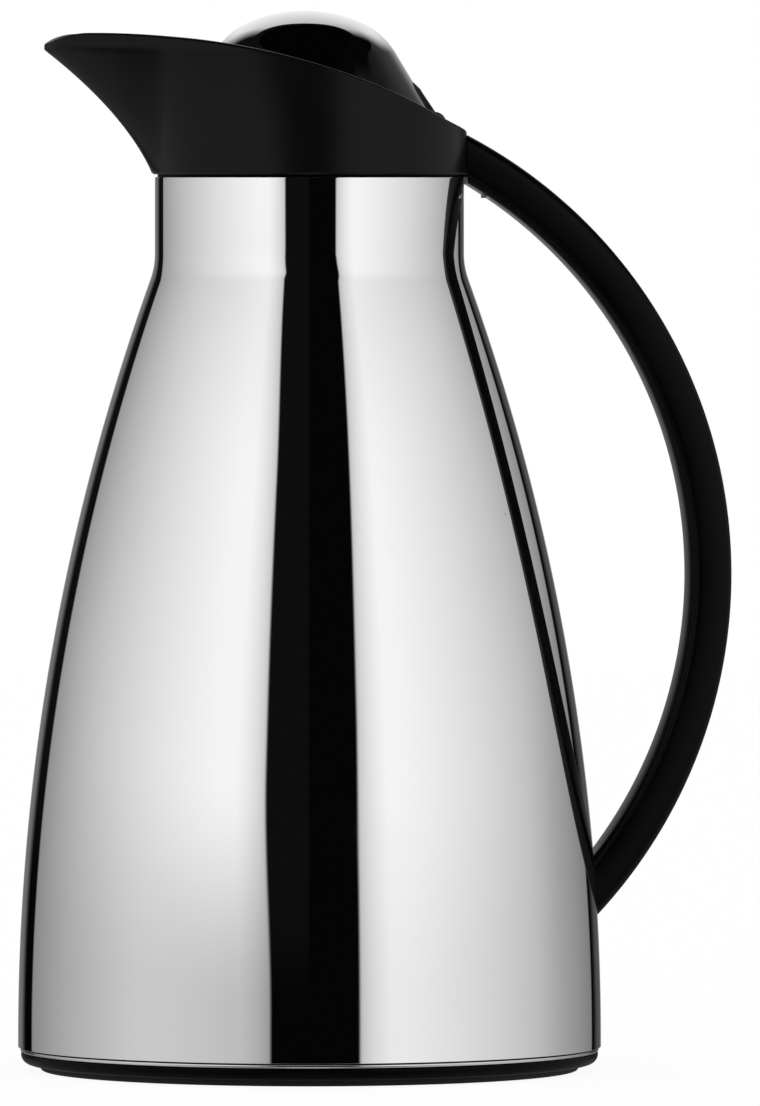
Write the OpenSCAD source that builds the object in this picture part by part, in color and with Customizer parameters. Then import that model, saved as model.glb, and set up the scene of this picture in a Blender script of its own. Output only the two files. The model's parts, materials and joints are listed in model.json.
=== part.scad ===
// Thermal carafe with a conical polished shell, a beaked collar, a bow handle
// and a domed lid that tips back on a pin behind the mouth.
// Millimetres. The origin is on the body's axis at the floor, +Z is up,
// the beak points to -X and the handle to +X.

/* [Shell] */
// Radius of the shell where it is widest
shell_r = 75.7; // [74.5:0.1:77]
// Height at which the shell is widest
belly_z = 8; // [7:0.5:12]
// Radius of the straight neck
neck_r = 40.1; // [39.8:0.1:41]
// Radius of the hollow where the side turns into the neck
neck_fillet = 20; // [12:1:30]
// Height of the neck's top edge
neck_top = 231.8; // [229:0.1:236]
// Length of the straight neck
neck_h = 19.85; // [16:0.05:24]
// Thickness of the steel
shell_wall = 0.8; // [0.5:0.1:1]

/* [Foot] */
// How far the foot ring and the bright bead lie inside the shell's widest circle
foot_inset = 0.6; // [0.2:0.1:1.2]
// Height of the foot ring below the bead
foot_h = 4.7; // [4:0.1:4.9]
// Rounding of the foot ring's lower edge
foot_round = 3; // [2:0.1:4]
// Height of the bright bead
bead_h = 1.2; // [0.8:0.1:1.4]
// Depth of the dark groove above the bead
groove_depth = 0.9; // [0.5:0.1:1.5]
// Height of the dark groove above the bead
groove_h = 0.6; // [0.4:0.1:1.2]
// Room round the flask where it passes through the bottom plate's thread
thread_room = 1; // [0.6:0.1:2]
// Height of that thread
thread_h = 9; // [7:0.5:11]
// Thickness of the moulded foot parts
foot_wall = 2.4; // [2:0.1:3]
// Distance of the soft ring's middle from the foot's edge
gasket_inset = 7.1; // [6:0.1:9]
// Width of the soft ring
gasket_w = 4; // [3:0.5:6]
// How far the foot ring stands off the floor on the soft ring
gasket_proud = 0.4; // [0.2:0.1:0.8]
// Height of the foot ring's stem inside the shell
stem_h = 6; // [4:0.5:10]
// Distance of the bottom plate above the foot ring's underside
cap_rise = 0.6; // [0.4:0.1:1]

/* [Vacuum flask] */
// Distance of the flask's body from the shell's widest circle
flask_room = 19.7; // [19:0.1:25]
// Height of the flask's underside
flask_bottom = 9; // [8:0.5:12]
// Radius of the flask's lower edge
flask_round = 28; // [20:1:34]
// Height of the flask's shoulder, from its body to its neck
shoulder_h = 80; // [70:1:100]
// Height of the flask's neck
flask_neck_h = 17; // [12:0.5:24]
// Distance of the flask's lip below the top of the shell's neck
flask_drop = 2.8; // [2.4:0.1:4]
// Thickness of each glass wall
glass = 1.5; // [1:0.1:2]
// Width of the evacuated space
vacuum_gap = 4; // [3:0.1:5]
// Radius of the sealed tip under the flask
tip_r = 2.6; // [2:0.1:4]
// Height of the foam ring round the flask
pad_z = 110; // [80:1:125]
// Width of the foam ring
pad_h = 14; // [8:1:20]

/* [Collar] */
// How far the collar stands proud of the neck
collar_proud = 0.7; // [0.3:0.1:1.4]
// Thickness of the collar's wall
collar_wall = 2.4; // [2:0.1:2.6]
// How far the beak reaches out per millimetre of height at its root
beak_lean = 0.46; // [0.3:0.02:0.5]
// How fast the beak's lean grows with height
beak_curl = 0.013; // [0.01:0.0005:0.016]
// Height above the collar's bottom edge where the beak stops growing
beak_h = 32.2; // [28:0.1:34]
// Half the angle that the beak takes up at its top
beak_angle = 32; // [26:1:40]
// Half the angle that the beak takes up at its root
beak_root_angle = 14; // [10:1:20]
// Share of the reach that the whole front of the collar takes
front_share = 0.28; // [0.1:0.02:0.5]
// Radius of the rim's curve, seen from the side
rim_arc = 204; // [180:1:230]
// Distance of the rim's highest point in front of the axis
rim_peak_x = 60; // [56:1:64]
// Height of the rim's highest point above the collar's bottom edge
rim_h = 36.5; // [35.5:0.1:38.5]
// Drop of the rim near the very tip of the beak
tip_drop = 2.2; // [0:0.1:3]
// Length over which the rim drops that far in front of its highest point
tip_len = 9; // [7:0.5:14]
// How far the rim rises above its curve at the very back
rear_lift = 1.6; // [0:0.1:2.4]
// Length over which it rises that far
rear_len = 12; // [8:0.5:16]
// Thickness of the ledge inside the collar's bottom
ledge_t = 1.6; // [1.2:0.1:2.4]

/* [Throat] */
// Thickness of the steel ring between neck and collar
bracket_t = 0.6; // [0.5:0.1:0.8]
// Thickness of the throat's floor
floor_t = 2; // [1.6:0.1:3]
// How much wider the mouth is than the flask's own neck
mouth_step = 0.6; // [0.2:0.1:1.4]
// Space between the neck and the sleeve inside it, which the ring nut fills
nut_room = 4.6; // [4.2:0.1:5]
// Thickness of the sleeve
sleeve_wall = 2; // [1.6:0.1:2.1]
// Length of the sleeve below the throat's floor
sleeve_h = 14; // [12:0.5:18]
// Height of the ring nut
nut_h = 7; // [5:0.5:9]
// Thickness of the gasket round the flask's neck
gasket_wall = 1.5; // [1:0.1:2]
// Height of that gasket round the flask's neck
gasket_h = 7; // [5:0.5:10]

/* [Hinge] */
// Distance of the hinge pin inside the dome's skirt
hinge_inset = 3.3; // [2.8:0.1:3.8]
// Height of the hinge pin above the throat's floor
hinge_rise = 9.5; // [9:0.1:9.8]
// Radius of the hinge pin
pin_r = 1.5; // [1.2:0.1:1.6]
// Radial clearance of the pin in the lid
pin_play = 0.06; // [0.03:0.01:0.1]
// Radius of the ears and knuckles round the pin
ear_r = 3.1; // [2.8:0.1:3.2]
// Thickness of each ear
ear_t = 3; // [2:0.1:3.4]
// Half the width of the hinge block between the ears
block_half = 10; // [9:0.1:10.4]
// Half the width of the slot for the spring
slot_half = 4.8; // [4:0.1:5.4]
// Thickness of the spring's wire
wire_d = 0.8; // [0.6:0.05:0.9]
// Number of turns of the spring
spring_turns = 6; // [4:1:6]
// Distance between the spring's turns
spring_pitch = 1.3; // [1.25:0.01:1.35]

/* [Lid] */
// Distance of the lid's axis in front of the body's axis
lid_shift = 1.2; // [0:0.1:2]
// Height of the top of the dome above the throat's floor
dome_h = 38.8; // [36:0.1:40]
// Radius of the dome's crown
crown_arc = 36; // [33:0.5:40]
// Angle from the dome's axis to the end of the crown
crown_end = 25; // [22:0.5:28]
// Width of the dome's straight flank, seen from above
flank_run = 10.74; // [9:0.02:12]
// Angle from the dome's axis to the end of the shoulder
shoulder_end = 59; // [57:0.5:60]
// Distance of the base's rim below the dome's flank
rim_gap = 2.3; // [1:0.1:4]
// Gap between the dome's straight skirt and the collar's wall
lid_room = 4.1; // [3.8:0.1:4.6]
// Thickness of the dome's steel
dome_wall = 0.7; // [0.5:0.1:0.9]
// Thickness of the lid's base plate
plate_t = 2; // [1.6:0.1:2.6]
// Height of the lid's base plate above the throat's floor
plate_rise = 4; // [3.6:0.1:4.4]
// Height of the thumb tab's top above the throat's floor
tab_rise = 23.6; // [20:0.1:24.5]
// Half the width of the thumb tab
tab_half = 8; // [6:0.1:9.5]
// Thickness of the thumb tab
tab_t = 0.9; // [0.7:0.1:1.2]
// Height over which the thumb tab thins out to its top
tab_taper = 5; // [3:0.5:7]
// Depth of the stopper below the throat's floor
plug_depth = 8; // [6:0.1:9]
// How much narrower the stopper's underside is than the mouth
plug_taper = 4.6; // [3.6:0.1:7]
// Thickness of the stopper's wall
plug_wall = 1.8; // [1.4:0.1:2.2]
// How far the stopper's seal laps over the mouth's edge
seal_lap = 3.2; // [2.4:0.1:3.6]
// Thickness of the seal
seal_t = 1.8; // [1.4:0.1:2]
// Gap under the seal when the lid is shut
seal_gap = 0.3; // [0.2:0.05:0.4]
// Radius of the circle on which the stopper's screws stand
screw_ring_r = 13; // [10:0.5:15]
// Radius of the stopper's screws
plug_screw_r = 1.2; // [1:0.1:1.4]

/* [Handle] */
// Distance of the bow's middle line from the shell at the lower screw
bow_stand = 5.75; // [4:0.05:6]
// How far the bow's middle line passes under the bracket's tab
bow_drop = 0.1; // [0:0.1:1]
// Outer radius of the bow
bow_r = 128.7; // [127:0.1:130]
// Thickness of the bow in its own plane
bow_t = 11; // [9.8:0.1:12]
// Width of the bow
bow_w = 15; // [14:0.5:20]
// Rounding of the bow's edges
bow_round = 3; // [2:0.1:4.5]
// Gap between the bow's ends and what they meet
bow_gap = 0.1; // [0.05:0.05:0.2]
// Height of the lower screw
low_screw_z = 54; // [52:0.5:55]
// Distance of the upper screw behind the collar
screw_reach = 7.8; // [6.5:0.1:8.5]
// Radius of the handle screws
screw_r = 1.9; // [1.5:0.1:2]
// How far the screws go into the handle
screw_bite = 8; // [6:0.1:8.4]
// Thickness of the steel plate inside the shell
doubler_t = 1.2; // [1:0.1:2]
// Height of that plate
doubler_h = 26; // [18:1:34]
// Width of that plate
doubler_w = 18; // [12:1:24]
// Width of the bracket's tab
tab_w = 9; // [7.5:0.5:10]
// Length of the bracket's tab behind the upper screw
tab_end = 6; // [4.5:0.5:7]

/* [Hidden] */
$fn = 96;

fit = 0.1;              // close fit between moulded parts
far = 300;              // longer than anything that is cut
steel = [0.86, 0.87, 0.88];
black = [0.07, 0.07, 0.075];
rubber = [0.16, 0.16, 0.17];
foam = [0.93, 0.92, 0.88];
silicone = [0.78, 0.78, 0.76];
silvered_glass = [0.82, 0.85, 0.86];

// Heights of the stack clamped on the neck
collar_z = neck_top + bracket_t;
ledge_z = collar_z + ledge_t;
seat_z = ledge_z + floor_t;
hinge_z = seat_z + hinge_rise;
rim_peak_z = collar_z + rim_h;
dome_top = seat_z + dome_h;
plate_z = seat_z + plate_rise;
plate_top = plate_z + plate_t;
plug_z = seat_z - plug_depth;
seal_z = seat_z + seal_gap;
bead_z = foot_h + fit;
groove_z = bead_z + bead_h;
shell_bottom = groove_z + groove_h;

// Radii that follow from the shell and its neck
foot_r = shell_r - foot_inset;
gasket_r = foot_r - gasket_inset;
flask_r = shell_r - flask_room;
thread_r = flask_r + thread_room;
collar_r = neck_r + collar_proud;
sleeve_r = neck_r - shell_wall - nut_room;
sleeve_in = sleeve_r - sleeve_wall;
gasket_gap = 0.1;
flask_neck_r = sleeve_in - gasket_wall - 2 * gasket_gap;
flask_inset = 2 * glass + vacuum_gap;
mouth_r = flask_neck_r - flask_inset + mouth_step;
skirt_r = collar_r - collar_wall - lid_room;
hinge_x = skirt_r - hinge_inset;
plug_tip_r = mouth_r - plug_taper;
seal_r = mouth_r + seal_lap;

// Heights of the flask
flask_top = neck_top - flask_drop;
flask_neck_z = flask_top - flask_neck_h;
flask_shoulder = flask_neck_z - shoulder_h;

// ---- Outline of the shell ----

// Centre height of the hollow between side and neck
fillet_z = neck_top - neck_h;
// Radius of the long arc of the side, which touches the belly and that hollow
side_arc = (pow(fillet_z - belly_z, 2) + pow(shell_r - neck_r - neck_fillet, 2)
    - pow(neck_fillet, 2)) / (2 * (shell_r - neck_r));
// Height at which side and hollow meet
join_z = belly_z + (fillet_z - belly_z) * side_arc / (side_arc + neck_fillet);

function shell_at(z) =
    z < join_z ? shell_r - side_arc + sqrt(side_arc * side_arc - pow(z - belly_z, 2))
    : z < fillet_z ? neck_r + neck_fillet - sqrt(max(0, neck_fillet * neck_fillet - pow(fillet_z - z, 2)))
    : neck_r;

// Heights at which the shell's outline has its points
shell_steps = 20;
fillet_steps = 5;
shell_zs = concat(
    [for (i = [0 : shell_steps]) shell_bottom + (join_z - shell_bottom) * i / shell_steps],
    [for (i = [1 : fillet_steps]) join_z + (fillet_z - join_z) * i / fillet_steps]);

// The space inside the shell's outline, drawn in by inset, up to a height
module shell_space(inset, top) {
    rotate_extrude()
        polygon(concat(
            [[0, shell_bottom - 1], [shell_at(shell_bottom) - inset, shell_bottom - 1]],
            [for (z = shell_zs) [shell_at(z) - inset, z]],
            [[neck_r - inset, top], [0, top]]));
}

module ring(r_out, r_in, z0, z1) {
    translate([0, 0, z0])
        difference() {
            cylinder(r = r_out, h = z1 - z0);
            translate([0, 0, -1]) cylinder(r = r_in, h = z1 - z0 + 2);
        }
}

// A rod along +X from x0 to x1
module rod_x(r, x0, x1, z) {
    translate([x0, 0, z]) rotate([0, 90, 0]) cylinder(r = r, h = x1 - x0);
}

// A rod along Y round the hinge's axis
module rod_y(r, y0, y1) {
    translate([hinge_x, y0, hinge_z]) rotate([-90, 0, 0]) cylinder(r = r, h = y1 - y0);
}

// ---- Shell and foot ----

lip_t = shell_wall;
lip_r = sleeve_r + 0.4;
low_screw_x = shell_at(low_screw_z);
low_head_x = shell_at(low_screw_z + 2 * screw_r) - shell_wall - doubler_t - fit;
screw_hole = 0.3;       // clearance round a screw in sheet steel

module body_shell() {
    color(steel)
    difference() {
        shell_space(0, neck_top);
        shell_space(shell_wall, neck_top - lip_t);
        cylinder(r = lip_r, h = far);
        cylinder(r = far, h = shell_bottom);
        rod_x(screw_r + screw_hole, low_head_x, low_screw_x + screw_bite, low_screw_z);
    }
}

module trim_ring() {
    bead_round = bead_h / 2;
    color(steel)
    rotate_extrude()
        union() {
            translate([foot_r - bead_round, bead_z + bead_round]) circle(r = bead_round);
            translate([foot_r - foot_wall, bead_z]) square([foot_wall - bead_round, bead_h]);
        }
}

// The foot ring: rounded foot, a stem behind the bead and a hub with the thread
hub_r = thread_r + foot_wall;
stem_r = foot_r - foot_wall - fit;
stem_top = shell_bottom + stem_h;

module base_ring() {
    color(black)
    difference() {
        union() {
            rotate_extrude()
                difference() {
                    union() {
                        translate([foot_r - foot_round, foot_h]) circle(r = foot_round);
                        translate([thread_r, foot_h - foot_round])
                            square([foot_r - foot_round - thread_r, foot_round]);
                    }
                    translate([0, foot_h]) square([far, far]);
                    square([far, gasket_proud]);
                }
            ring(stem_r, stem_r - foot_wall, foot_h - 1, stem_top);
            ring(shell_at(groove_z) - groove_depth, stem_r - 1, groove_z, shell_bottom);
            ring(shell_at(stem_top) - shell_wall - fit, stem_r - 1, shell_bottom, stem_top);
            ring(hub_r, thread_r, foot_h - 1, gasket_proud + thread_h);
        }
        translate([0, 0, -1]) cylinder(r = thread_r, h = far);
        ring(gasket_r + gasket_w / 2, gasket_r - gasket_w / 2, -1, gasket_proud + foot_wall / 2);
    }
}

cap_r = thread_r - fit;
cap_z = gasket_proud + cap_rise;

module base_cap() {
    dish_r = 22;        // dish with a finger bar across it in the cap's underside
    bar_w = 4;
    color(black)
    difference() {
        translate([0, 0, cap_z]) cylinder(r = cap_r, h = thread_h - cap_rise);
        translate([0, 0, cap_z + foot_wall]) cylinder(r = cap_r - foot_wall, h = far);
        difference() {
            translate([0, 0, -1]) cylinder(r = dish_r, h = cap_z + 1 + foot_wall / 2);
            translate([-far / 2, -bar_w / 2, -1]) cube([far, bar_w, far]);
        }
    }
}

module foot_gasket() {
    color(rubber)
    ring(gasket_r + gasket_w / 2 - fit, gasket_r - gasket_w / 2 + fit, 0, gasket_proud + foot_wall / 2);
}

// ---- Flask ----

shoulder_steps = 16;
round_steps = 8;

// Outline of the flask, drawn in by inset, from the axis below to a height
function flask_at(z) =
    let (t = (z - flask_shoulder) / (flask_neck_z - flask_shoulder))
    t < 0 ? flask_r : t > 1 ? flask_neck_r
    : flask_neck_r + (flask_r - flask_neck_r) * (1 + cos(180 * t)) / 2;

function flask_outline(inset, top) = concat(
    [[0, flask_bottom + inset]],
    [for (i = [0 : round_steps])
        let (a = 90 * i / round_steps)
        [flask_r - flask_round + (flask_round - inset) * sin(a),
         flask_bottom + flask_round - (flask_round - inset) * cos(a)]],
    [for (i = [0 : shoulder_steps])
        let (z = flask_shoulder + (flask_neck_z - flask_shoulder) * i / shoulder_steps)
        [flask_at(z) - inset, z]],
    [[flask_neck_r - inset, top], [0, top]]);

tip_h = 3;

module vacuum_flask() {
    color(silvered_glass)
    difference() {
        union() {
            rotate_extrude() polygon(flask_outline(0, flask_top));
            translate([0, 0, flask_bottom - tip_h]) cylinder(r = tip_r, h = tip_h + 1);
        }
        rotate_extrude()
            difference() {
                polygon(flask_outline(glass, flask_top - glass));
                polygon(flask_outline(glass + vacuum_gap, far));
            }
        rotate_extrude() polygon(flask_outline(flask_inset, far));
    }
}

// Rubber cup between bottom plate and flask
module flask_cushion() {
    cup_r = flask_r - flask_round + 6;
    cup_z = cap_z + foot_wall;
    cup_h = flask_bottom + 3.5 - cup_z;
    color(rubber)
    difference() {
        translate([0, 0, cup_z]) cylinder(r = cup_r, h = cup_h);
        translate([0, 0, -0.2]) rotate_extrude() polygon(flask_outline(0, far));
        cylinder(r = tip_r + 3, h = far);
    }
}

// Foam ring between flask and shell
module flask_pad() {
    pad_gap = 0.3;
    color(foam)
    difference() {
        intersection() {
            shell_space(shell_wall + pad_gap, neck_top);
            translate([0, 0, pad_z]) cylinder(r = far, h = pad_h);
        }
        cylinder(r = flask_r + pad_gap, h = far);
    }
}

// ---- Neck stack ----

module mouth_gasket() {
    color(silicone) {
        difference() {
            translate([0, 0, flask_top - gasket_h])
                cylinder(r = sleeve_in - gasket_gap, h = ledge_z - flask_top + gasket_h);
            translate([0, 0, flask_top - gasket_h - 1])
                cylinder(r = flask_neck_r + gasket_gap, h = gasket_h + 1);
            cylinder(r = mouth_r, h = far);
        }
    }
}

nut_top = neck_top - lip_t;

module neck_nut() {
    notches = 6;
    color(black)
    difference() {
        ring(neck_r - shell_wall - 0.4, sleeve_r + fit, nut_top - nut_h, nut_top);
        for (i = [0 : notches - 1])
            rotate([0, 0, i * 360 / notches])
                translate([sleeve_r + 1.4, -3, nut_top - nut_h - 1]) cube([far, 6, 4]);
    }
}

top_screw_x = collar_r + screw_reach;
tab_len = top_screw_x + tab_end;

module upper_bracket() {
    groove = 0.7;       // how far the ring lies back from the neck's face
    color(steel)
    difference() {
        union() {
            translate([0, 0, neck_top]) cylinder(r = neck_r - groove, h = bracket_t);
            translate([sleeve_r + 1, -tab_w / 2, neck_top])
                cube([tab_len - sleeve_r - 1, tab_w, bracket_t]);
        }
        cylinder(r = lip_r, h = far);
        translate([top_screw_x, 0, 0]) cylinder(r = screw_r + screw_hole, h = far);
    }
}

// ---- Collar with beak ----

turns = 80;             // columns round the collar
rows = 9;               // rows up its wall

function beak_reach(h) =
    let (k = min(max(h, 0), beak_h))
    beak_lean * k + beak_curl * k * k;

function beak_half(h) =
    beak_root_angle + (beak_angle - beak_root_angle) * min(max(h, 0), beak_h) / beak_h;

// Share of the reach at an angle from the beak: a broad swell and a narrow beak
function beak_share(a, h) =
    let (b = beak_half(h))
    front_share * (a < 90 ? pow(cos(a), 2) : 0)
    + (1 - front_share) * (a < b ? (1 + cos(180 * a / b)) / 2 : 0);

function collar_at(a, z) = collar_r + beak_reach(z - collar_z) * beak_share(a, z - collar_z);

function rim_at(x) =
    rim_peak_z - rim_arc + sqrt(rim_arc * rim_arc - pow(x + rim_peak_x, 2))
    - tip_drop * pow(max(0, -x - rim_peak_x) / tip_len, 2)
    + rear_lift * pow(max(0, x - collar_r + rear_len) / rear_len, 2);

// Height of the rim at an angle, found by stepping towards it
function rim_step(a, z, n) = n == 0 ? z : rim_step(a, rim_at(-collar_at(a, z) * cos(a)), n - 1);
function rim_z(a) = rim_step(a, rim_peak_z - rim_h / 3, 8);

// Angle from the beak, closer together where the beak is
function column_angle(i) =
    let (s = i / turns * 2 - 1)
    180 * s * (0.55 + 0.45 * abs(s));

function on_column(angle, r, z) = [-r * cos(angle), -r * sin(angle), z];

function collar_loop(angle) =
    let (a = abs(angle), top = rim_z(a), w = collar_wall, edge = 0.5,
         rise = top - collar_z, drop = top - ledge_z)
    concat(
        [for (j = [0 : rows])
            let (z = collar_z + (rise - edge) * j / rows)
            on_column(angle, collar_at(a, z), z)],
        [on_column(angle, collar_at(a, top) - edge, top),
         on_column(angle, collar_at(a, top) - w + edge, top)],
        [for (j = [0 : rows])
            let (z = ledge_z + (drop - edge) * (1 - j / rows))
            on_column(angle, collar_at(a, z) - w, z)],
        [on_column(angle, lip_r, ledge_z), on_column(angle, lip_r, collar_z)]);

module spout_collar() {
    loops = [for (i = [0 : turns - 1]) collar_loop(column_angle(i))];
    m = len(loops[0]);
    points = [for (l = loops) for (p = l) p];
    faces = [for (i = [0 : turns - 1]) for (j = [0 : m - 1])
        let (a = i * m + j, b = i * m + (j + 1) % m,
             c = ((i + 1) % turns) * m + (j + 1) % m, d = ((i + 1) % turns) * m + j)
        each [[a, b, c], [a, c, d]]];
    color(black) polyhedron(points = points, faces = faces, convexity = 8);
}

// ---- Throat ----

throat_gap = 0.3;       // between the throat's floor and the collar's wall
floor_r = collar_r - collar_wall - throat_gap;
ear_in = block_half + 0.3;
ear_out = ear_in + ear_t;

module throat_insert() {
    color(black)
    difference() {
        union() {
            ring(floor_r, mouth_r, ledge_z, seat_z);
            ring(sleeve_r, sleeve_in, ledge_z - sleeve_h, ledge_z + 0.5);
            for (s = [-1, 1]) {
                ear_y = s > 0 ? ear_in : -ear_out;
                translate([hinge_x - ear_r, ear_y, seat_z - 0.5])
                    cube([2 * ear_r, ear_t, hinge_rise + 0.5]);
                rod_y(ear_r, ear_y, ear_y + ear_t);
            }
        }
        rod_y(pin_r, -far / 2, far / 2);
    }
}

// ---- Hinge ----

module hinge_pin() {
    color(steel) rod_y(pin_r, -ear_out - 0.2, ear_out + 0.2);
}

// One unbroken wire: a leg up from the floor, the turns, and a leg over the lid's plate
coil_r = pin_r + wire_d / 2 + 0.5;
coil_sides = 6;
coil_steps = 8;
leg_a = hinge_rise - 1;
leg_b = 5.5;

// Point on the wire's middle line; turn 0 starts behind the pin
coil_end = spring_turns + 0.25;
function coil_point(t) =
    [hinge_x + coil_r * cos(360 * t), spring_pitch * (t - coil_end / 2), hinge_z + coil_r * sin(360 * t)];
wire_line = concat(
    [coil_point(0) - [0, 0, leg_a]],
    [coil_point(0) - [0, 0, leg_a / 2]],
    [for (i = [0 : coil_steps * spring_turns + coil_steps / 4]) coil_point(i / coil_steps)],
    [coil_point(coil_end) - [leg_b / 2, 0, 0], coil_point(coil_end) - [leg_b, 0, 0]]);

// Sweep of a round wire along a line of points, with its ends closed
function unit(v) = v / norm(v);
// Direction of the line at one of its points
function direction(line, i) =
    unit(line[min(i + 1, len(line) - 1)] - line[max(i - 1, 0)]);
function ring_points(line, i, r, sides) =
    let (d = direction(line, i), u = unit(cross(d, [0, 1, 0])), v = cross(d, u))
    [for (k = [0 : sides - 1]) line[i] + r * (cos(360 * k / sides) * u + sin(360 * k / sides) * v)];

module wire(line, r, sides) {
    n = len(line);
    points = [for (i = [0 : n - 1]) each ring_points(line, i, r, sides)];
    sides_faces = [for (i = [0 : n - 2]) for (k = [0 : sides - 1])
        let (a = i * sides + k, b = i * sides + (k + 1) % sides)
        each [[a, a + sides, b], [b, a + sides, b + sides]]];
    caps = [[for (k = [0 : sides - 1]) k], [for (k = [sides - 1 : -1 : 0]) (n - 1) * sides + k]];
    polyhedron(points = points, faces = concat(sides_faces, caps), convexity = 6);
}

// Least gap of the coil to itself, over points half a turn or more apart
coil_gap = min([for (i = [0 : coil_steps * spring_turns])
    for (j = [i + coil_steps / 2 : coil_steps * spring_turns])
        norm(coil_point(i / coil_steps) - coil_point(j / coil_steps)) - wire_d]);
echo(spring_gap_mm = coil_gap);

module hinge_spring() {
    color(steel) wire(wire_line, wire_d / 2, coil_sides);
}

// ---- Lid ----

skirt_z = plate_z + 0.6;
crown_steps = 3;
shoulder_steps_lid = 7;
shoulder_arc = (skirt_r - flank_run - crown_arc * sin(crown_end))
    / (sin(shoulder_end) - sin(crown_end));
shoulder_c = [(crown_arc - shoulder_arc) * sin(crown_end),
              dome_top - crown_arc + (crown_arc - shoulder_arc) * cos(crown_end)];
flank_start = shoulder_c + shoulder_arc * [sin(shoulder_end), cos(shoulder_end)];
flank_end_z = flank_start[1] - (skirt_r - flank_start[0]) * tan(shoulder_end);

// Outline of the dome from the top to the skirt, drawn in by inset, closed on the axis
function dome_outline(inset, bottom) = concat(
    [for (i = [0 : crown_steps])
        let (a = crown_end * i / crown_steps)
        [(crown_arc - inset) * sin(a), dome_top - crown_arc + (crown_arc - inset) * cos(a)]],
    [for (i = [1 : shoulder_steps_lid])
        let (a = crown_end + (shoulder_end - crown_end) * i / shoulder_steps_lid)
        shoulder_c + (shoulder_arc - inset) * [sin(a), cos(a)]],
    [[skirt_r - inset, flank_end_z - inset * tan((90 - shoulder_end) / 2)],
     [skirt_r - inset, bottom], [0, bottom]]);

// Distance of the straight flank from the dome's axis
function flank_r_at(z) = flank_start[0] + (flank_start[1] - z) / tan(shoulder_end);

module dome_space(inset, bottom) {
    translate([-lid_shift, 0, 0]) rotate_extrude() polygon(dome_outline(inset, bottom));
}

// The part of the lid that gives way to the ears and hinge block
notch_half = ear_out + 0.6;
notch_top = hinge_z + ear_r + 0.4;
notch_x = hinge_x - ear_r - 1.6;

module hinge_notch(extra) {
    translate([notch_x - extra, -notch_half - extra, seat_z - 1])
        cube([far, 2 * (notch_half + extra), notch_top + extra - seat_z + 1]);
}

module lid_dome() {
    color(steel)
    difference() {
        dome_space(0, skirt_z);
        dome_space(dome_wall, skirt_z - 1);
        hinge_notch(0);
    }
}

plate_r = skirt_r - dome_wall - fit;
base_rim_z = flank_end_z - rim_gap;
screw_angles = [60, 180, 300];

module at_screws() {
    for (a = screw_angles)
        rotate([0, 0, a]) translate([screw_ring_r, 0, 0]) children();
}

// Where the thumb tab and its root may be: thinner towards the top, and behind the knuckles
module tab_room() {
    tab_top = seat_z + tab_rise;
    edge_r = flank_r_at(tab_top) + 0.25;
    root_r = flank_r_at(tab_top - tab_taper) + (fit + tab_t) / sin(shoulder_end);
    slant = (root_r - edge_r) / tab_taper;
    intersection() {
        translate([-lid_shift, 0, hinge_z])
            cylinder(r1 = edge_r + slant * (tab_top - hinge_z), r2 = edge_r, h = tab_top - hinge_z);
        union() {
            translate([hinge_x - 1, -tab_half, hinge_z]) cube([far, 2 * tab_half, far]);
            translate([0, -tab_half, notch_top]) cube([far, 2 * tab_half, far]);
        }
    }
}

module lid_base() {
    spring_room = coil_r + wire_d / 2 + 0.4;
    color(black)
    difference() {
        union() {
            difference() {
                translate([-lid_shift, 0, plate_z]) cylinder(r = plate_r, h = base_rim_z - plate_z);
                translate([-lid_shift, 0, plate_top]) cylinder(r = plate_r - 1.6, h = far);
                hinge_notch(0);
            }
            // arms that carry the knuckles
            translate([notch_x - 2, -block_half, plate_z])
                cube([hinge_x - notch_x + 2, 2 * block_half, hinge_rise - plate_rise]);
            rod_y(ear_r, -block_half, block_half);
            // thumb tab lying on the dome's back, and its root behind the knuckles
            intersection() {
                difference() {
                    dome_space(-fit - tab_t, plate_z);
                    difference() {
                        dome_space(-fit, plate_z - 1);
                        hinge_notch(0);
                    }
                }
                tab_room();
            }
        }
        rod_y(pin_r + pin_play, -far / 2, far / 2);
        rod_y(spring_room, -slot_half, slot_half);
        translate([notch_x - 1, -slot_half, plate_top])
            cube([hinge_x - notch_x + spring_room + 1, 2 * slot_half, hinge_z - plate_top]);
        at_screws() translate([0, 0, plate_z - 1]) cylinder(r = plug_screw_r + 0.2, h = far);
    }
}

module lid_insulation() {
    foam_gap = 0.3;
    head_r = 2 * plug_screw_r + 0.6;
    color(foam)
    difference() {
        intersection() {
            dome_space(dome_wall + foam_gap, plate_top);
            translate([-lid_shift, 0, plate_top]) cylinder(r = plate_r - 1.6 - foam_gap, h = far);
        }
        translate([notch_x - 3, -far, plate_top - 1])
            cube([far, 2 * far, notch_top - plate_top + 1.5]);
        at_screws() translate([0, 0, plate_top - 1]) cylinder(r = head_r, h = 3);
    }
}

plug_flange_z = seal_z + seal_t;

module lid_plug() {
    cone_top = mouth_r - 0.8;
    boss_r = 3;
    color(black)
    difference() {
        union() {
            difference() {
                union() {
                    translate([0, 0, plug_z]) cylinder(r1 = plug_tip_r, r2 = cone_top, h = plug_depth);
                    translate([0, 0, seat_z - 0.01]) cylinder(r = cone_top, h = plate_z - seat_z + 0.01);
                    translate([0, 0, plug_flange_z]) cylinder(r = seal_r, h = plate_z - plug_flange_z);
                }
                translate([0, 0, plug_z + plug_wall])
                    cylinder(r1 = plug_tip_r - plug_wall, r2 = cone_top - plug_wall, h = plug_depth);
                translate([0, 0, seat_z]) cylinder(r = cone_top - plug_wall, h = far);
            }
            at_screws() translate([0, 0, plug_z + plug_wall / 2])
                cylinder(r = boss_r, h = plate_z - plug_z - plug_wall / 2);
        }
        at_screws() translate([0, 0, plug_z + plug_wall + 1])
            cylinder(r = plug_screw_r + 0.05, h = far);
    }
}

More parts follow.
